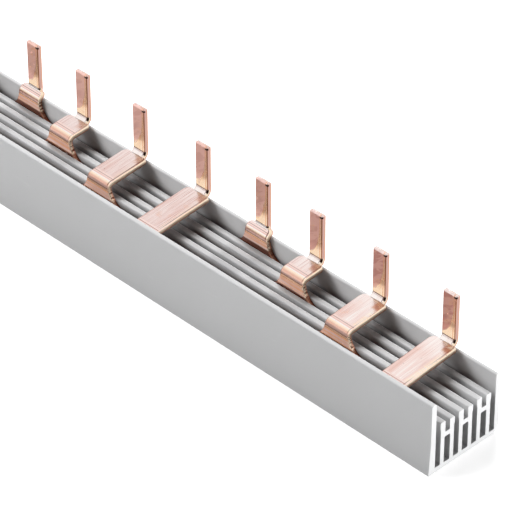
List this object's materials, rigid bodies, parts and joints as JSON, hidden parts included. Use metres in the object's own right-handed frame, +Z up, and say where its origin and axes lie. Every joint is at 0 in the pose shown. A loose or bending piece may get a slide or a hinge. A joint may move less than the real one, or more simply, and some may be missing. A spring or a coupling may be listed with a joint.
{
  "type": "comb busbar",
  "caption": "Pin-type comb busbar: flat copper combs lie side by side in a plastic trough and end in a row of upright pins that feed neighbouring modular breakers.",
  "frame": {"origin": "middle of the underside, on the plane that it rests on", "axes": "+X along the trough towards the end whose last pin belongs to the front comb, +Y from the tall front wall to the low back wall at which the pins stand, +Z up, the way the pins point"},
  "size_m": [0.2238, 0.0202, 0.0282],
  "materials": {
    "plastic": "light grey extruded PVC, satin matt",
    "copper": "bare punched copper, satin"
  },
  "bodies": {
    "root": {"housing": "plastic", "comb_bar_a": "copper", "comb_bar_b": "copper", "comb_bar_c": "copper", "comb_bar_d": "copper"}
  },
  "joints": []
}
